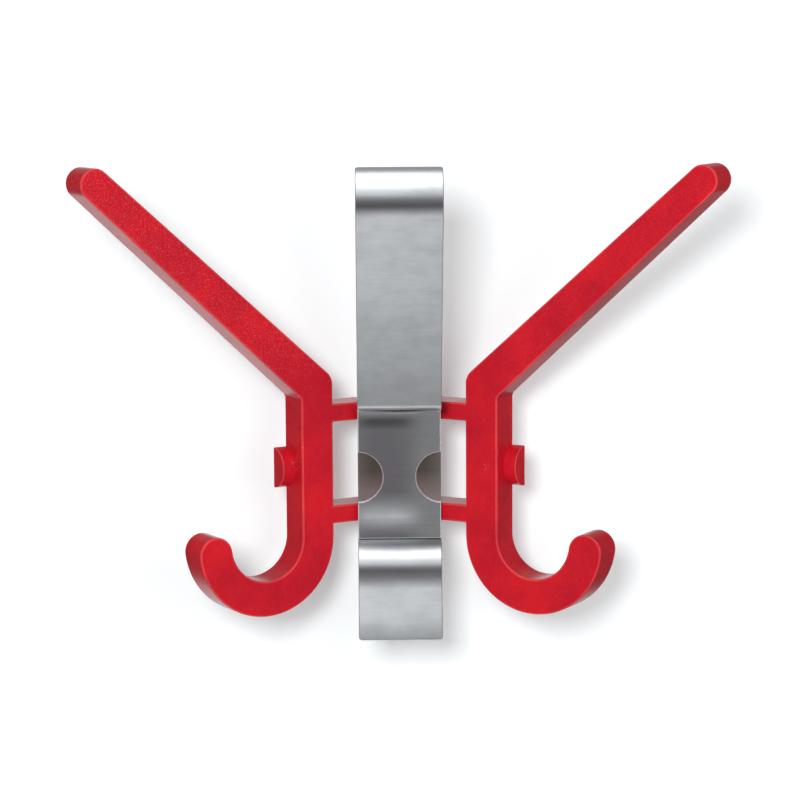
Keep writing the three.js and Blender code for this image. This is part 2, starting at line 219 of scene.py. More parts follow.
class HookStudio(bpy.types.PropertyGroup):
    """The studio around the hook"""
    key: share("Key light", "Power of the lamp at the upper left, in watts", 16.5, min=0.0)
    fill: share("Fill light", "Power of the broad lamp at the right, in watts", 7.0, min=0.0)
    room: share("Room", "Level of the room's own light", 0.22, min=0.0)
    glow: share("Wall glow", "How much brighter the camera sees the wall", 0.3, min=0.0)
    tent: share("Tent", "Level of the tent that the steel mirrors", 2.05, min=0.0)
    offset: share("Tent offset", "How far the tent's middle lies to the left", 0.07)
    sides: share("Tent sides", "Level of the tent's two sides, as a share", 0.13, min=0.0)
    boxes: share("Side boxes", "Level of the soft boxes left and right", 0.3, min=0.0)
    ends: share("Tent ends", "Level at the far left and right, as a share", 0.08, min=0.0)
    beside: share("Beside the hook", "Level left and right towards the wall", 0.045, min=0.0)
    back: share(
        "Tent back", "Level of the wall in what the hook mirrors, as a share", 0.47, min=0.0)
    lens: share("Lens", "Focal length in millimetres", 126.0, min=1.0)


# Levels of the studio tent by degrees above the horizon ahead, as shares of the tent's level

TENT_LEVELS = (
    (-180, 0.1), (180, 0.03), (-120, 0.14), (-100, 0.34), (-80, 0.39), (-70, 0.36), (-60, 0.32),
    (-54, 0.25), (-47, 0.18), (-38, 0.1), (-28, 0.02), (-8, 0.08), (0, 0.11), (4, 0.24),
    (9, 0.21), (13, 0.41), (20, 0.42), (30, 0.52), (42, 0.84), (70, 1.1), (94, 0.8),
    (108, 0.22), (124, 0.02),
)


# Mesh helpers

def leave():
    """Goes from edit mode back to object mode."""
    bpy.ops.object.mode_set(mode="OBJECT")


def deselect_everything():
    if bpy.context.mode != "OBJECT":
        leave()
    bpy.ops.object.select_all(action="DESELECT")


def only(piece):
    """Selects one object and makes it the active one."""
    deselect_everything()
    piece.select_set(True)
    bpy.context.view_layer.objects.active = piece
    return piece


def named(name):
    """Names the object that was just added."""
    piece = bpy.context.view_layer.objects.active
    piece.name = name
    piece.data.name = name
    return piece


def edit(kind="EDGE"):
    bpy.ops.object.mode_set(mode="EDIT")
    bpy.ops.mesh.select_mode(type=kind)


def select_all():
    bpy.ops.mesh.select_all(action="SELECT")


def merge():
    """In edit mode, merges all the piece's doubles."""
    select_all()
    bpy.ops.mesh.remove_doubles(threshold=MERGE)


def extrude(step):
    bpy.ops.mesh.extrude_region_move(TRANSFORM_OT_translate={"value": step})


def round_points(offset, segments):
    """In edit mode, rounds the selected corners of a flat sheet."""
    bpy.ops.mesh.bevel(
        offset=offset, offset_type="OFFSET", segments=segments, profile=0.5, affect="VERTICES")


def select_where(piece, kind, test):
    """In edit mode, selects the vertices, edges or faces whose middle passes the test."""
    bpy.ops.mesh.select_mode(type=kind)
    bpy.ops.mesh.select_all(action="DESELECT")
    leave()
    mesh = piece.data
    for vertex in mesh.vertices:
        vertex.select = kind == "VERT" and test(vertex.co)
    for edge in mesh.edges:
        middle = (mesh.vertices[edge.vertices[0]].co + mesh.vertices[edge.vertices[1]].co) / 2
        edge.select = kind == "EDGE" and test(middle)
    for face in mesh.polygons:
        face.select = kind == "FACE" and test(face.center)
    bpy.ops.object.mode_set(mode="EDIT")
    bpy.ops.mesh.select_mode(type=kind)


def modifier(piece, kind, **values):
    """Adds a modifier and applies it."""
    only(piece)
    added = piece.modifiers.new(kind.title(), kind)
    for name, value in values.items():
        setattr(added, name, value)
    bpy.ops.object.modifier_apply(modifier=added.name)


def cut_with(piece, tool, operation="DIFFERENCE", materials="INDEX"):
    """Joins or cuts a piece with another, which is then deleted."""
    modifier(piece, "BOOLEAN", object=tool, operation=operation, solver="EXACT",
             material_mode=materials)
    only(tool)
    bpy.ops.object.delete()
    only(piece)


def round_edges(piece, width, segments, **values):
    """Rounds every sharp edge of a piece."""
    modifier(piece, "BEVEL", width=width, segments=segments, limit_method="ANGLE",
             angle_limit=SHARP, **values)


def slice_piece(piece, place, normal, **kept):
    """Cuts a whole piece along a plane."""
    only(piece)
    edit("FACE")
    select_all()
    bpy.ops.mesh.bisect(plane_co=place, plane_no=normal, **kept)
    leave()


def outward(piece):
    """Merges doubles and points every face out."""
    only(piece)
    edit("VERT")
    merge()
    bpy.ops.mesh.normals_make_consistent(inside=False)
    leave()


def smooth(piece, angle=36.0):
    """Shades a piece smooth, with its broad faces ruling over its rounded edges."""
    only(piece)
    bpy.ops.object.shade_smooth_by_angle(angle=radians(angle))
    modifier(piece, "WEIGHTED_NORMAL", keep_sharp=True, weight=80)


def dress(piece, material, body, node):
    """Gives a finished piece its material, unless it has one, and its body, and hides the node
    that it stands for."""
    if material is not None:
        piece.data.materials.clear()
        piece.data.materials.append(material)
    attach(piece, body)
    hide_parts(node)


# Bending

class Bender:
    """Bends a sheet as on a folding bench. The sheet runs in the Y-Z plane, and its heading is
    counted from straight up towards the front, so at 90 degrees it runs away from the wall."""

    def __init__(self, name, width, forward, height, heading, first_run):
        self.width = width
        self.heading = heading
        self.forward = forward
        self.height = height
        deselect_everything()
        bpy.ops.mesh.primitive_plane_add(size=1, location=(0, 0, 0))
        self.piece = named(name)
        ends = [(forward, height)]
        self.advance(first_run)
        ends.append((self.forward, self.height))
        low = sorted(range(4), key=lambda i: self.piece.data.vertices[i].co.y)
        for place, indices in zip(ends, (low[:2], low[2:])):
            for i in indices:
                co = self.piece.data.vertices[i].co
                side = 1 if co.x > 0 else -1
                self.piece.data.vertices[i].co = (side * width / 2, -place[0], place[1])
        edit("EDGE")
        self.select_end()

    def select_end(self):
        place = Vector((0, -self.forward, self.height))
        select_where(self.piece, "EDGE", lambda p: (p - place).length < HERE)

    def advance(self, run):
        self.forward += run * math.sin(self.heading)
        self.height += run * math.cos(self.heading)

    def run(self, distance):
        before = Vector((0, -self.forward, self.height))
        self.advance(distance)
        step = Vector((0, -self.forward, self.height)) - before
        extrude(step)
        return self

    def bend(self, heading, radius, step=3.0):
        """Spins the free edge to a new heading about the centre of a bend."""
        turn = heading - self.heading
        side = 1 if turn > 0 else -1
        reach = side * radius
        centre_forward = self.forward + reach * math.cos(self.heading)
        centre_height = self.height - reach * math.sin(self.heading)
        steps = max(2, math.ceil(abs(math.degrees(turn)) / step))
        bpy.ops.mesh.spin(
            steps=steps, angle=-turn, center=(0, -centre_forward, centre_height), axis=(1, 0, 0))
        self.heading = heading
        self.forward = centre_forward - reach * math.cos(heading)
        self.height = centre_height + reach * math.sin(heading)
        return self

    def done(self):
        leave()
        return self.piece


def round_corners(piece, places, radius):
    """Rounds the flat corners of a sheet near the given places."""
    only(piece)
    edit("VERT")
    select_where(piece, "VERT", lambda p: any((p - place).length < AROUND for place in places))
    round_points(radius, 5)
    leave()


def thicken(piece, thickness):
    outward(piece)
    modifier(piece, "SOLIDIFY", thickness=thickness, offset=0.0, use_even_offset=True)
    outward(piece)


def join_sheets(first, second):
    only(first)
    second.select_set(True)
    bpy.ops.object.join()
    outward(first)
    return first


def corners_at(bender):
    half = bender.width / 2
    return [Vector((side * half, -bender.forward, bender.height)) for side in (-1, 1)]


# Materials

class Tree:
    """A node tree, built up by name."""

    def __init__(self, tree):
        self.tree = tree
        self.tree.nodes.clear()

    def add(self, kind, **values):
        node = self.tree.nodes.new(kind)
        for name, value in values.items():
            setattr(node, name, value)
        return node

    def link(self, source, target, socket):
        self.tree.links.new(source, target.inputs[socket])

    def feed(self, node, **values):
        """Links sockets, or sets them where a value is plain. Their names are written with
        underscores for spaces."""
        for name, value in values.items():
            self.put(node, name.replace("_", " "), value)

    def put(self, node, socket, value):
        if isinstance(value, bpy.types.NodeSocket):
            self.link(value, node, socket)
        else:
            node.inputs[socket].default_value = value

    def calculate(self, operation, first, second=0.0):
        node = self.add("ShaderNodeMath", operation=operation)
        self.put(node, 0, first)
        self.put(node, 1, second)
        return node.outputs[0]

    def product(self, first, *others):
        for other in others:
            first = self.calculate("MULTIPLY", first, other)
        return first

    def span(self, value, low, high, from_low=0.0, from_high=1.0, **kind):
        """Goes from low to high while a value goes through its own span."""
        node = self.add("ShaderNodeMapRange", **kind)
        self.feed(node, Value=value, From_Min=from_low, From_Max=from_high, To_Min=low,
                  To_Max=high)
        return node.outputs["Result"]

    def slope(self, value, start, end):
        """Goes softly from 0 to 1 while a value goes from start to end."""
        return self.span(value, 0.0, 1.0, start, end, interpolation_type="SMOOTHSTEP")

    def mix(self, factor, first, second):
        """Mixes two colours, each of them a socket or three levels."""
        node = self.add("ShaderNodeMix", data_type="RGBA")
        self.put(node, 0, factor)
        for index, tint in ((6, first), (7, second)):
            linked = isinstance(tint, bpy.types.NodeSocket)
            self.put(node, index, tint if linked else (*tint, 1.0))
        return node.outputs[2]

    def either(self, test, first, second):
        """Shows the first shader where a test is 0, and the second where it is 1."""
        node = self.add("ShaderNodeMixShader")
        for index, source in enumerate((test, first, second)):
            self.link(source, node, index)
        return node.outputs[0]

    def light(self, tint, level):
        node = self.add("ShaderNodeBackground")
        self.feed(node, Color=tint, Strength=level)
        return node.outputs[0]


class Nodes(Tree):
    """A material, patterned by its piece's own coordinates."""

    def __init__(self, name):
        self.material = bpy.data.materials.new(name)
        self.material.use_nodes = True
        super().__init__(self.material.node_tree)
        self.output = self.add("ShaderNodeOutputMaterial")
        self.shader = self.add("ShaderNodeBsdfPrincipled")
        self.link(self.shader.outputs[0], self.output, "Surface")
        self.place = self.add("ShaderNodeTexCoord").outputs["Object"]

    def axis(self, name):
        parts = self.add("ShaderNodeSeparateXYZ")
        self.link(self.place, parts, 0)
        return parts.outputs[name]

    def noise(self, grains, detail=3.0, roughness=0.5):
        """Noise with so many grains to the metre, along all axes or along each."""
        mapping = self.add("ShaderNodeMapping")
        self.feed(mapping, Vector=self.place, Scale=(
            grains if isinstance(grains, tuple) else (grains, grains, grains)))
        node = self.add("ShaderNodeTexNoise")
        self.feed(node, Vector=mapping.outputs["Vector"], Scale=1.0, Detail=detail,
                  Roughness=roughness)
        return node.outputs["Fac"]

    def crowned(self, half_width, fall):
        """A height in metres that falls away from the middle plane to both sides."""
        across = self.calculate("DIVIDE", self.axis("X"), half_width)
        return self.calculate("MULTIPLY", self.calculate("POWER", across, 2.0), -fall)

    def bump(self, height, strength, distance, normal=None):
        node = self.add("ShaderNodeBump")
        self.feed(node, Height=height, Strength=strength, Distance=distance)
        if normal is not None:
            self.link(normal, node, "Normal")
        return node.outputs["Normal"]


def shade(tint, factor):
    return tuple(min(1.0, level * factor) for level in tint)


def brushed_steel(
        name, tint, roughness, streaks=1.0, crown=0.0, half_width=20 * MM, painted_leaf_light=False,
        stretch_and_shade=None):
    """Steel brushed across the strip: long fine streaks along X over soft smudges, which blur what
    it mirrors more up and down than sideways. A crown is how far its long edges fall back.
    With painted leaf light, the steel turns pale and rosy towards the bottom, a painted reflection
    of the red rungs, and paler towards its long edges, which is painted light. In a tight fold,
    between two heights, the steel is duller, and painted shade darkens the fold's inner side."""
    nodes = Nodes(name)
    along = nodes.add("ShaderNodeCombineXYZ")
    nodes.feed(along, X=1.0)
    nodes.feed(nodes.shader, Metallic=1.0, Anisotropic=0.75, Anisotropic_Rotation=0.25,
               Tangent=along.outputs[0])
    fine = nodes.noise((60.0, 1500.0, 1500.0), detail=4.0, roughness=0.65)
    broad = nodes.noise((14.0, 300.0, 300.0))
    cloud = nodes.noise((60.0, 90.0, 90.0), roughness=0.6)
    light, deep = shade(tint, 1.03), shade(tint, 0.84)
    base = nodes.mix(nodes.span(fine, 0.0, 0.7 * streaks, 0.3, 0.7), light, deep)
    base = nodes.mix(nodes.span(broad, 0.0, 0.25 * streaks, 0.4, 0.7), base, deep)
    base = nodes.mix(nodes.span(cloud, 0.0, 0.5, 0.42, 0.66), base, deep)
    if painted_leaf_light:
        # Painted reflection and light: the leaf turns pale rosy towards the bottom, standing in
        # for the red rungs it mirrors, and paler grey towards its long edges.
        rosy = nodes.span(nodes.axis("Z"), 0.0, 1.0, -9 * MM, -24 * MM)
        sides = nodes.span(nodes.crowned(half_width, -1.0), 0.0, 0.4, 0.4, 1.0)
        base = nodes.mix(sides, nodes.mix(rosy, base, PAINTED_ROSE_REFLECTION), PAINTED_PALE_EDGES)
    blurred = nodes.mix(0.5, fine, cloud)
    blurred = nodes.span(blurred, roughness - 0.03, roughness + 0.04, 0.35, 0.65)
    if stretch_and_shade:
        low, high = stretch_and_shade
        height = nodes.axis("Z")
        above = nodes.span(height, 0.0, 1.0, low, low + 3 * MM)
        below = nodes.span(height, 1.0, 0.0, high - 3 * MM, high)
        blurred = nodes.mix(nodes.product(above, below), blurred, (0.4, 0.4, 0.4))
        # Painted shade: from just above the lower height up to the upper one, the colour darkens
        # towards three tenths of the tint.
        inner = nodes.span(height, 0.0, 0.75, low + 1.6 * MM, low + 3.6 * MM)
        base = nodes.mix(nodes.product(inner, below), base, shade(tint, 0.3))
    relief = nodes.bump(fine, 0.12 * streaks, 0.02 * MM)
    relief = nodes.bump(cloud, 0.5, 0.06 * MM, relief)
    if crown:
        relief = nodes.bump(nodes.crowned(half_width, crown), 1.0, 1.0, relief)
    nodes.feed(nodes.shader, Base_Color=base, Roughness=blurred, Normal=relief)
    return nodes.material


def cut_edge(name, tint):
    """Steel as the shears leave it: pale, dull and finely scored."""
    nodes = Nodes(name)
    score = nodes.noise((2600.0, 2600.0, 600.0), detail=2.0)
    nodes.feed(
        nodes.shader, Metallic=0.4, Normal=nodes.bump(score, 0.2, 0.03 * MM),
        Roughness=nodes.span(score, 0.5, 0.62, 0.3, 0.7),
        Base_Color=nodes.mix(nodes.span(score, 0.0, 1.0, 0.3, 0.7), tint, shade(tint, 0.86)))
    return nodes.material


def moulded_plastic(name, tint, polish=0.0):
    """Red plastic with a fine moulded grain, soft flow marks and a few pale specks. The raised
    arms are worn to a coarser sparkle, the left one most, and the stems and jaws are smoother.
    Handling polishes the edges."""
    nodes = Nodes(name)
    grain = nodes.noise(900.0, detail=4.0, roughness=0.65)
    patch = nodes.noise(38.0, detail=4.0, roughness=0.62)
    specks = nodes.noise(1500.0, detail=1.0)
    dusty = nodes.noise(55.0, detail=2.0)
    sparkle = nodes.noise(1900.0, detail=2.0)
    deep = (tint[0] * 0.76, tint[1] * 0.6, tint[2] * 0.9)
    base = nodes.mix(nodes.span(patch, 0.0, 1.0, 0.36, 0.64), tint, deep)
    base = nodes.mix(nodes.span(grain, 0.0, 0.3, 0.5, 0.75), base, GRAIN_TOP)
    base = nodes.mix(nodes.span(grain, 0.3, 0.0, 0.3, 0.5), base, deep)
    worn = nodes.mix(nodes.span(sparkle, 0.0, 0.65, 0.56, 0.74), base, SPARKLE)
    worn = nodes.mix(nodes.span(sparkle, 0.6, 0.0, 0.3, 0.5), worn, PITTED)
    leftward = nodes.span(nodes.axis("X"), 1.0, 0.3, -10 * MM, 10 * MM)
    raised = nodes.span(nodes.axis("Z"), 0.0, 1.0, 24 * MM, 50 * MM)
    base = nodes.mix(nodes.product(leftward, raised), base, worn)
    scatter = nodes.product(nodes.span(dusty, 0.0, 1.0, 0.5, 0.72), specks)
    base = nodes.mix(nodes.span(scatter, 0.0, 0.5, 0.62, 0.72), base, SPECK)
    nodes.feed(
        nodes.shader, Base_Color=base, IOR=1.49, Specular_IOR_Level=0.34,
        Roughness=nodes.span(patch, 0.18 - polish, 0.27 - polish, 0.3, 0.7),
        Normal=nodes.bump(grain, 0.3, 0.08 * MM))
    return nodes.material


def studio_paint(name, tint, glow):
    """Pale paint that shows only from the front, so the hook can be seen from behind. Rays that
    start right against it pass too, so the wall plate's back isn't black in that view. The
    camera sees it brighter by its glow, which is what turns the background white."""
    nodes = Nodes(name)
    cloud = nodes.span(nodes.noise(3.0, detail=2.0), 0.0, 1.0, 0.3, 0.7)
    path = nodes.add("ShaderNodeLightPath")
    nodes.feed(
        nodes.shader, Base_Color=nodes.mix(cloud, tint, shade(tint, 0.985)), Roughness=1.0,
        Specular_IOR_Level=0.0, Emission_Color=WHITE,
        Emission_Strength=nodes.span(path.outputs["Is Camera Ray"], 0.0, glow))
    near = nodes.calculate("LESS_THAN", path.outputs["Ray Length"], 1.2 * MM)
    behind = nodes.add("ShaderNodeNewGeometry").outputs["Backfacing"]
    clear = nodes.add("ShaderNodeBsdfTransparent").outputs[0]
    seen = nodes.either(
        nodes.calculate("MAXIMUM", behind, near), nodes.shader.outputs[0], clear)
    nodes.link(seen, nodes.output, "Surface")
    return nodes.material


# Operators

class HOOK_OT_strip(bpy.types.Operator):
    """Fold the steel strip: curl, blade, two shelves, wall plate, crest and flap"""
    bl_idname = "hook.strip"
    bl_label = "Folded strip"

    def execute(self, context):
        sizes = context.scene.hook_strip
        half = sizes.thickness / 2
        wall_bend = sizes.wall_bend - half
        top = sizes.upper_shelf + sizes.thickness - sizes.wall_bend
        bottom = sizes.lower_shelf - sizes.thickness + sizes.wall_bend
        end_run = 2 * MM

        upper = Bender("folded_strip", sizes.width, half, 0, 0, top)
        upper.bend(radians(90), wall_bend).run(sizes.upper_reach - sizes.wall_bend)
        upper.bend(sizes.lean_low, sizes.blade_bend - half, step=4.0)
        upper.bend(sizes.lean_high, sizes.blade / (sizes.lean_high - sizes.lean_low), step=0.5)
        curl = sizes.curl - half
        upper.bend(-sizes.curl_lean + end_run / curl, curl).run(end_run)
        ends = corners_at(upper)
        first = upper.done()

        lower = Bender("lower_fold", sizes.width, half, 0, math.pi, -bottom)
        lower.bend(radians(90), wall_bend).run(sizes.lower_reach - sizes.wall_bend)
        lower.bend(CREST_HEADING, sizes.crest - half).bend(FLAP_HEADING, FLAP_BEND, step=1.5)
        lower.run(sizes.flap).bend(FOOT_HEADING, FOOT_BEND, step=1.0)
        ends += corners_at(lower)
        strip = join_sheets(first, lower.done())
        round_corners(strip, ends, sizes.corner)
        thicken(strip, sizes.thickness)
        for height in SCREW_HEIGHTS:
            cut_with(strip, self.screw_hole(sizes, height))
        outward(strip)
        round_edges(strip, sizes.edge, 3)
        outward(strip)
        smooth(strip)
        steel = brushed_steel(
            "brushed_strip", context.scene.hook_finishes.steel, roughness=0.19, streaks=0.24,
            stretch_and_shade=CREASE)
        dress(strip, steel, "bracket", "wall_bracket")
        return {"FINISHED"}

    def screw_hole(self, sizes, height):
        """A shank hole with its countersink, as one cutter."""
        ahead, deep = 1 * MM, 3 * MM
        deselect_everything()
        bpy.ops.mesh.primitive_cylinder_add(
            vertices=48, radius=SHANK_HOLE, depth=4 * deep, location=(0, 0, height),
            rotation=(radians(90), 0, 0))
        hole = named("screw_hole")
        bpy.ops.mesh.primitive_cone_add(
            vertices=48, radius1=SCREW_SINK, radius2=SHANK_TIP, depth=deep,
            location=(0, -sizes.thickness - ahead + deep / 2, height),
            rotation=(radians(-90), 0, 0))
        cut_with(hole, named("countersink"), "UNION")
        return hole


class HOOK_OT_cover(bpy.types.Operator):
    """Bow the cover plate and punch its finger notches"""
    bl_idname = "hook.cover"
    bl_label = "Cover plate"

    def execute(self, context):
        sizes = context.scene.hook_cover
        strip = context.scene.hook_strip
        foot = strip.lower_shelf + COVER_GAP
        flat = sizes.waist - foot - (sizes.lip + sizes.hollow) * math.sin(sizes.lean)
        head = strip.upper_shelf - COVER_GAP
        flare = math.asin((head - sizes.waist) / (sizes.flare + sizes.thickness))
        forward = -COVER_BOX[0].y - sizes.thickness / 2

        sheet = Bender("cover_panel", strip.width, forward, foot, 0, SLIVER)
        sheet.bend(-sizes.lean, sizes.lip, step=0.7).bend(0, sizes.hollow, step=0.7).run(flat)
        sheet.bend(flare, sizes.flare, step=1.0)
        plate = sheet.done()
        thicken(plate, sizes.thickness)
        finishes = context.scene.hook_finishes
        raw = cut_edge("cut_edge", finishes.cut_edge)
        plate.data.materials.append(brushed_steel(
            "brushed_cover", finishes.steel, roughness=0.16, streaks=1.2, crown=sizes.crown))
        plate.data.materials.append(raw)
        half = strip.width / 2
        self.long_edges(plate, half)
        bpy.ops.mesh.bevel(
            offset=sizes.edge, offset_type="OFFSET", segments=2, profile=0.5, affect="EDGES",
            material=1)
        leave()
        front = sizes.thickness - COVER_BOX[1].y
        for side in (-1, 1):
            place = Vector((side * half, -front, sizes.notch_height))
            self.punch(plate, place, sizes.notch, NOTCH_BREAK, raw)
        dip = (half * half + sizes.dip * sizes.dip) / (2 * sizes.dip)
        place = Vector((0, -front, head - sizes.dip + dip))
        self.punch(plate, place, dip, TOP_BREAK, raw)
        smooth(plate)
        dress(plate, None, "cover", "cover_plate")
        return {"FINISHED"}

    def long_edges(self, plate, half):
        """In edit mode, selects the plate's sharp edges along its two sides."""
        only(plate)
        edit("EDGE")
        bpy.ops.mesh.select_all(action="DESELECT")
        bpy.ops.mesh.edges_select_sharp(sharpness=SHARP)
        leave()
        mesh = plate.data
        for edge in mesh.edges:
            ends = [mesh.vertices[i].co.x for i in edge.vertices]
            edge.select = edge.select and min(abs(x) for x in ends) > half - AROUND and (
                ends[0] * ends[1] > 0)
        bpy.ops.object.mode_set(mode="EDIT")

    def punch(self, plate, place, radius, chamfer, material):
        """Punches a round opening through the plate and breaks its front edge."""
        turn = (radians(90), 0, 0)
        ahead, through = 3 * MM, 30 * MM
        deselect_everything()
        bpy.ops.mesh.primitive_cylinder_add(
            vertices=160, radius=radius, depth=through, location=place, rotation=turn)
        self.strike(plate, named("punched_hole"), material)
        bpy.ops.mesh.primitive_cone_add(
            vertices=160, radius1=radius, radius2=radius + chamfer + ahead, depth=chamfer + ahead,
            location=place + Vector((0, (chamfer - ahead) / 2, 0)), rotation=turn)
        self.strike(plate, named("broken_edge"), material)

    def strike(self, plate, tool, material):
        """Cuts the plate with a tool, whose faces leave it a bare edge."""
        tool.data.materials.append(material)
        cut_with(plate, tool, materials="TRANSFER")
        deselect_everything()


class HOOK_OT_spring(bpy.types.Operator):
    """Bend the retaining spring"""
    bl_idname = "hook.spring"
    bl_label = "Retaining spring"

    def execute(self, context):
        sizes = context.scene.hook_spring
        strip = context.scene.hook_strip
        half = sizes.thickness / 2
        loop = sizes.loop / 2
        front, back = -SPRING_BOX[0].y, -SPRING_BOX[1].y
        top, bottom = SPRING_BOX[1].z, SPRING_BOX[0].z

        leaf = Bender(
            "leaf_spring", strip.width, front - half, top, math.pi, top - bottom - sizes.heel)
        ends = [Vector((side * strip.width / 2, half - front, top)) for side in (-1, 1)]
        leaf.bend(radians(270), sizes.heel - half, step=6.0)
        leaf.run(front - sizes.heel - back - loop)
        leaf.bend(radians(450), loop - half, step=6.0).run(sizes.bearer)
        ends += corners_at(leaf)
        spring = leaf.done()
        round_corners(spring, ends, strip.corner)
        thicken(spring, sizes.thickness)
        round_edges(spring, LEAF_EDGE, 2)
        smooth(spring)
        # The leaf's rosy bottom and paler long edges are painted reflection and light.
        steel = brushed_steel(
            "spring_steel", context.scene.hook_finishes.spring, roughness=0.3, streaks=0.6,
            crown=0.9 * MM, painted_leaf_light=True)
        dress(spring, steel, "bracket", "retaining_spring")
        return {"FINISHED"}


class HOOK_OT_moulding(bpy.types.Operator):
    """Mould the double hook: stems, arms, jaws, rungs and bosses"""
    bl_idname = "hook.moulding"
    bl_label = "Double hook"

    def execute(self, context):
        sizes = context.scene.hook_moulding
        finishes = context.scene.hook_finishes
        # The second, lighter red is a painted highlight on the rounded edges.
        self.reds = (
            moulded_plastic("red_plastic", finishes.plastic),
            moulded_plastic("red_edge_highlight", finishes.plastic_edge_highlight, polish=0.06))
        plate = self.limbs(sizes)
        self.stand(plate, sizes)
        boss = self.boss(sizes)
        self.stand(boss, sizes)
        cut_with(plate, boss, "UNION")
        self.mirror(plate)
        self.flatten_fold(plate, sizes)
        cut_with(plate, self.shelf_notch(sizes, context.scene.hook_strip.width))
        outward(plate)
        smooth(plate, angle=40.0)
        dress(plate, None, "bracket", "double_hook")
        return {"FINISHED"}

    def colour(self, piece):
        """Gives a piece the plastic's red, and the polished, lighter red that its rounded edges
        get, which is a painted highlight.
        """
        for red in self.reds:
            piece.data.materials.append(red)

    def limbs(self, sizes):
        """One hook as a flat face in X and Y, extruded to its section along Z."""
        inner = sizes.stem
        outer = sizes.stem + sizes.section
        deselect_everything()
        bpy.ops.mesh.primitive_plane_add(size=1)
        plate = named("hook_moulding")
        self.colour(plate)
        corners = {
            (-1, -1): (inner, sizes.jaw_height), (1, -1): (outer, sizes.jaw_height),
            (-1, 1): (inner, sizes.elbow_inner), (1, 1): (outer, sizes.elbow_outer),
        }
        for vertex in plate.data.vertices:
            key = (1 if vertex.co.x > 0 else -1, 1 if vertex.co.y > 0 else -1)
            vertex.co = (*corners[key], 0)
        only(plate)
        edit("EDGE")
        self.jaw(plate, sizes, outer)
        self.arm(plate, sizes, inner, outer)
        self.rungs(plate, sizes, inner)
        merge()
        bpy.ops.mesh.select_mode(type="FACE")
        select_all()
        bpy.ops.mesh.normals_make_consistent(inside=False)
        bpy.ops.mesh.dissolve_faces(use_verts=False)
        select_all()
        extrude((0, 0, -sizes.section))
        leave()
        outward(plate)
        round_edges(plate, sizes.edge, 5, use_clamp_overlap=False, material=1)
        return plate

    def jaw(self, plate, sizes, outer):
        centre = Vector((outer + sizes.jaw, sizes.jaw_height, 0))
        select_where(plate, "EDGE", lambda p: abs(p.y - sizes.jaw_height) < HERE)
        sweep = math.pi - sizes.jaw_dip
        bpy.ops.mesh.spin(steps=58, angle=-sweep, center=centre, axis=(0, 0, 1))
        middle = sizes.jaw + sizes.section / 2
        along = Vector((math.sin(sizes.jaw_dip), math.cos(sizes.jaw_dip), 0))
        end = centre + middle * Vector((math.cos(sizes.jaw_dip), -math.sin(sizes.jaw_dip), 0))
        self.round_end(plate, end, along, sizes.section / 2, sizes.section / 2)

    def arm(self, plate, sizes, inner, outer):
        tip = Vector((sizes.tip_across, sizes.tip_height, 0))
        upper = Vector((inner, sizes.elbow_inner, 0))
        lower = Vector((outer, sizes.elbow_outer, 0))
        ends = {}
        for corner, side in ((upper, 1), (lower, -1)):
            reach = tip - corner
            angle = math.atan2(reach.y, reach.x) + side * math.asin(sizes.tip / reach.length)
            outward_step = Vector((-side * math.sin(angle), side * math.cos(angle), 0))
            ends[side] = tip + sizes.tip * outward_step
        middle = (upper + lower) / 2
        shift = (ends[1] + ends[-1]) / 2 - middle
        select_where(plate, "EDGE", lambda p: (p - middle).length < HERE)
        extrude(shift)
        leave()
        for vertex in plate.data.vertices:
            for corner, side in ((upper, 1), (lower, -1)):
                if (vertex.co - corner - shift).length < HERE:
                    vertex.co = ends[side]
        bpy.ops.object.mode_set(mode="EDIT")
        across = ends[1] - ends[-1]
        along = Vector((across.y, -across.x, 0)).normalized()
        end = (ends[1] + ends[-1]) / 2
        reach = sizes.tip - (end - tip).dot(along)
        self.round_end(plate, end, along, across.length / 2, reach)
        for corner, radius in zip((upper, lower), ELBOW_ROUND):
            select_where(plate, "VERT", lambda p, c=corner: (p - c).length < HERE)
            round_points(radius * math.tan(ELBOW_HALF_TURN), 6)

    def round_end(self, plate, end, along, radius, reach):
        """Carries a limb's end edge on by a half circle."""
        across = Vector((-along.y, along.x, 0))
        select_where(plate, "EDGE", lambda p: (p - end).length < AROUND)
        extrude(along * reach)
        places = [end + along * reach + side * across * radius for side in (-1, 1)]
        select_where(plate, "VERT", lambda p: any((p - q).length < AROUND for q in places))
        round_points(min(radius, reach) * 0.998, 16)

    def rungs(self, plate, sizes, inner):
        half = sizes.rung / 2
        for middle in (sizes.upper_rung, sizes.lower_rung):
            for height in (middle - half, middle + half):
                select_all()
                bpy.ops.mesh.bisect(plane_co=(0, height, 0), plane_no=(0, 1, 0))
        merge()
        for middle in (sizes.upper_rung, sizes.lower_rung):
            place = Vector((inner, middle, 0))
            select_where(plate, "EDGE", lambda p, q=place: (p - q).length < 0.5 * MM)
            extrude((-inner - RUNG_OVERLAP, 0, 0))

    def boss(self, sizes):
        """A half-round boss, flat at the back of the stem's outer side."""
        outer = sizes.stem + sizes.section
        buried = sizes.section / 2
        deselect_everything()
        bpy.ops.mesh.primitive_cylinder_add(
            vertices=96, radius=sizes.boss / 2, depth=sizes.boss_out + buried,
            location=(outer + (sizes.boss_out - buried) / 2, sizes.boss_height, -sizes.section),
            rotation=(0, radians(90), 0))
        boss = named("boss")
        self.colour(boss)
        bpy.ops.object.transform_apply(location=True, rotation=True, scale=True)
        round_edges(boss, sizes.edge * 0.6, 4, material=1)
        slice_piece(boss, (0, 0, -sizes.section), (0, 0, -1), clear_outer=True, use_fill=True)
        outward(boss)
        return boss

    def stand(self, piece, sizes):
        """Stands a flat hook up and yaws it, with its front through the fold."""
        piece.data.transform(Matrix.Rotation(radians(90), 4, "X"))
        piece.data.transform(Matrix.Rotation(-sizes.yaw, 4, "Z"))
        piece.data.transform(Matrix.Translation((0, -sizes.fold_front, 0)))

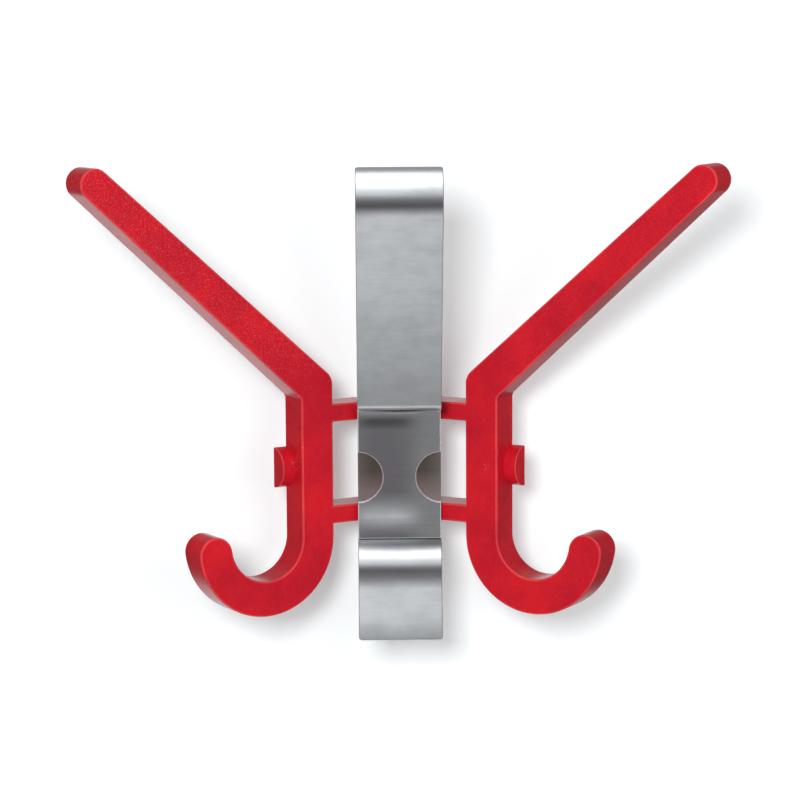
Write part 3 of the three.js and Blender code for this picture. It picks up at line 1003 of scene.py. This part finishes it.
    def mirror(self, plate):
        """Cuts the rungs on the middle plane and mirrors the hook across it."""
        slice_piece(plate, (0, 0, 0), (1, 0, 0), clear_inner=True)
        modifier(plate, "MIRROR", use_axis=(True, False, False), merge_threshold=AROUND)
        outward(plate)

    def flatten_fold(self, plate, sizes):
        """Cuts the fold's back flat where it lies on the wall plate."""
        slice_piece(plate, (0, -sizes.fold_back, 0), (0, 1, 0), clear_outer=True, use_fill=True)
        outward(plate)

    def shelf_notch(self, sizes, width):
        """The block that cuts the upper rung down where the strip's shelf lies on it."""
        tall, deep = 20 * MM, 0.1
        low = sizes.upper_rung + sizes.rung / 2 - sizes.notch
        deselect_everything()
        bpy.ops.mesh.primitive_cube_add(
            size=1, location=(0, 0, low + tall / 2), scale=(width + SHELF_PLAY, deep, tall))
        block = named("shelf_notch")
        bpy.ops.object.transform_apply(location=True, rotation=True, scale=True)
        return block


class HOOK_OT_screws(bpy.types.Operator):
    """Finish the two wall screws"""
    bl_idname = "hook.screws"
    bl_label = "Wall screws"

    def execute(self, context):
        steel = brushed_steel(
            "screw_steel", context.scene.hook_finishes.screw, roughness=0.36, streaks=0.6)
        for node in ("upper_wall_screw", "lower_wall_screw"):
            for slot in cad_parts[node].material_slots:
                slot.material = steel
        return {"FINISHED"}


class HOOK_OT_stage(bpy.types.Operator):
    """Set the studio: wall, lamps and camera"""
    bl_idname = "hook.stage"
    bl_label = "Studio"

    def execute(self, context):
        studio = context.scene.hook_studio
        self.wall(context)
        self.lamps(studio)
        self.room(studio)
        self.camera(studio)
        context.scene.view_settings.view_transform = "Standard"
        return {"FINISHED"}

    def wall(self, context):
        """A wall right behind the hook, and a floor below that meets it in a cove."""
        paint = studio_paint(
            "studio_paint", context.scene.hook_finishes.wall, context.scene.hook_studio.glow)
        wall = self.sheet("studio_wall", WALL_TOP, WALL_FOOT)
        wall.data.materials.append(paint)
        foot = WALL_FOOT - 0.02
        floor = self.sheet("studio_floor", WALL_FOOT, foot)
        edit("EDGE")
        select_where(floor, "EDGE", lambda p: p.z < foot + 0.005 and abs(p.x) < 0.1)
        bpy.ops.mesh.spin(steps=24, angle=radians(90), center=(0, -COVE, foot), axis=(1, 0, 0))
        extrude((0, -FLOOR_RUN, 0))
        leave()
        smooth(floor, angle=40.0)
        floor.data.materials.append(paint)
        for sheet in (wall, floor):
            sheet.visible_glossy = False
            self.face_front(sheet)

    def sheet(self, name, top, bottom):
        """An upright sheet just behind the wall plate."""
        deselect_everything()
        bpy.ops.mesh.primitive_plane_add(size=1)
        sheet = named(name)
        for vertex in sheet.data.vertices:
            side = 1 if vertex.co.x > 0 else -1
            vertex.co = (side * WALL_HALF, WALL_GAP, top if vertex.co.y > 0 else bottom)
        return only(sheet)

    def face_front(self, sheet):
        only(sheet)
        if sheet.data.polygons[0].normal.y > 0:
            edit("FACE")
            select_all()
            bpy.ops.mesh.flip_normals()
            leave()

    def lamps(self, studio):
        self.lamp("key", KEY_PLACE, KEY_SIZE, studio.key)
        self.lamp("fill", FILL_PLACE, FILL_SIZE, studio.fill)

    def lamp(self, name, place, size, power):
        """A soft square lamp that lights and shades but leaves no hot spot on the steel."""
        deselect_everything()
        bpy.ops.object.light_add(type="AREA", location=place)
        lamp = bpy.context.view_layer.objects.active
        lamp.name = name
        lamp.data.shape = "RECTANGLE"
        lamp.data.size = lamp.data.size_y = size
        lamp.data.energy = power
        lamp.rotation_euler = (LAMPS_AIM - Vector(place)).to_track_quat("-Z", "Y").to_euler()
        lamp.visible_camera = lamp.visible_glossy = False

    def room(self, studio):
        """A soft tent round the X axis for the steel to mirror: bright above, dim ahead, pale
        below. Its sides are dim but for a soft box left and right, and behind them all is the
        wall. Everything that isn't mirrored gets one plain level of room light."""
        world = bpy.data.worlds.new("studio_room")
        bpy.context.scene.world = world
        world.use_nodes = True
        nodes = Tree(world.node_tree)
        parts = nodes.add("ShaderNodeSeparateXYZ")
        nodes.link(nodes.add("ShaderNodeTexCoord").outputs["Generated"], parts, 0)
        x, y, z = parts.outputs
        rise = nodes.calculate("ARCTAN2", z, nodes.calculate("MULTIPLY", y, -1.0))
        tent = nodes.add("ShaderNodeValToRGB")
        nodes.feed(tent, Fac=nodes.span(rise, 0.0, 1.0, -math.pi, math.pi))
        elements = tent.color_ramp.elements
        for index, (degrees, level) in enumerate(TENT_LEVELS):
            element = elements[index] if index < 2 else elements.new(1.0)
            element.position = (degrees + 180) / 360
            warm = 0.07 if level < 0.12 else 0.0
            element.color = (
                level * (0.97 + warm), level * (0.985 - warm / 3), level * (1.0 + warm / 3), 1.0)
        # Each slope's bounds are parts of a unit direction: x right, y into the wall, z up
        sideways = nodes.calculate("ABSOLUTE", nodes.calculate("ADD", x, studio.offset))
        sides = nodes.slope(sideways, 0.07, 0.24)
        ends = nodes.slope(sideways, 0.45, 0.7)
        boxes = nodes.product(
            nodes.slope(sideways, 0.34, 0.42), nodes.slope(sideways, 0.62, 0.54),
            nodes.slope(y, 0.0, -0.3))
        wall = nodes.product(
            nodes.slope(y, 0.1, 0.4), nodes.slope(z, 0.35, 0.15), nodes.slope(x, 0.5, -0.1))
        beside = nodes.product(nodes.slope(sideways, 0.35, 0.55), nodes.slope(y, -0.1, 0.2))
        whole = tent.outputs["Color"]
        for factor, level in (
                (sides, studio.sides), (ends, studio.ends), (boxes, studio.boxes),
                (wall, studio.back), (beside, studio.beside)):
            whole = nodes.mix(factor, whole, (level, level, level))
        path = nodes.add("ShaderNodeLightPath")
        lit = nodes.either(
            path.outputs["Is Glossy Ray"], nodes.light(WHITE, studio.room),
            nodes.light(whole, studio.tent))
        shown = nodes.either(path.outputs["Is Camera Ray"], lit, nodes.light(WHITE, 1.0))
        nodes.link(shown, nodes.add("ShaderNodeOutputWorld"), "Surface")

    def camera(self, studio):
        """The photograph's viewpoint: a long lens, a little above and left of the strip."""
        deselect_everything()
        level = Vector((math.cos(CAMERA_YAW), -math.sin(CAMERA_YAW), 0))
        ahead = Vector((
            math.sin(CAMERA_YAW) * math.cos(CAMERA_PITCH),
            math.cos(CAMERA_YAW) * math.cos(CAMERA_PITCH), -math.sin(CAMERA_PITCH)))
        upright = level.cross(ahead)
        right = math.cos(CAMERA_ROLL) * level + math.sin(CAMERA_ROLL) * upright
        up = -math.sin(CAMERA_ROLL) * level + math.cos(CAMERA_ROLL) * upright
        bpy.ops.object.camera_add(location=CAMERA_PLACE)
        camera = bpy.context.view_layer.objects.active
        camera.name = "camera"
        turn = Matrix((right, up, -ahead)).transposed().to_4x4()
        camera.matrix_world = Matrix.Translation(CAMERA_PLACE) @ turn
        camera.data.lens = studio.lens
        camera.data.sensor_width = 36
        bpy.context.scene.camera = camera


class HOOK_PT_panel(bpy.types.Panel):
    """Lists the hook's pieces in the sidebar"""
    bl_label = "Wall hook"
    bl_idname = "HOOK_PT_panel"
    bl_space_type = "VIEW_3D"
    bl_region_type = "UI"
    bl_category = "Wall hook"

    def draw(self, context):
        for operator in OPERATORS:
            self.layout.operator(operator.bl_idname)
        for group in GROUPS:
            box = self.layout.box()
            box.label(text=group)
            sizes = getattr(context.scene, group)
            for name in sizes.bl_rna.properties.keys():
                if name not in ("rna_type", "name"):
                    box.prop(sizes, name)


OPERATORS = (
    HOOK_OT_strip, HOOK_OT_cover, HOOK_OT_spring, HOOK_OT_moulding, HOOK_OT_screws, HOOK_OT_stage)
GROUPS = {
    "hook_strip": HookStripSizes,
    "hook_cover": HookCoverSizes,
    "hook_spring": HookSpringSizes,
    "hook_moulding": HookMouldingSizes,
    "hook_finishes": HookFinishes,
    "hook_studio": HookStudio,
}


def register():
    for group, kind in GROUPS.items():
        bpy.utils.register_class(kind)
        setattr(bpy.types.Scene, group, PointerProperty(type=kind))
    for operator in OPERATORS:
        bpy.utils.register_class(operator)
    bpy.utils.register_class(HOOK_PT_panel)


def unregister():
    bpy.utils.unregister_class(HOOK_PT_panel)
    for operator in reversed(OPERATORS):
        bpy.utils.unregister_class(operator)
    for group, kind in GROUPS.items():
        delattr(bpy.types.Scene, group)
        bpy.utils.unregister_class(kind)


def main():
    register()
    bpy.ops.hook.strip()
    bpy.ops.hook.cover()
    bpy.ops.hook.spring()
    bpy.ops.hook.moulding()
    bpy.ops.hook.screws()
    bpy.ops.hook.stage()
    deselect_everything()


if __name__ == "__main__":
    main()
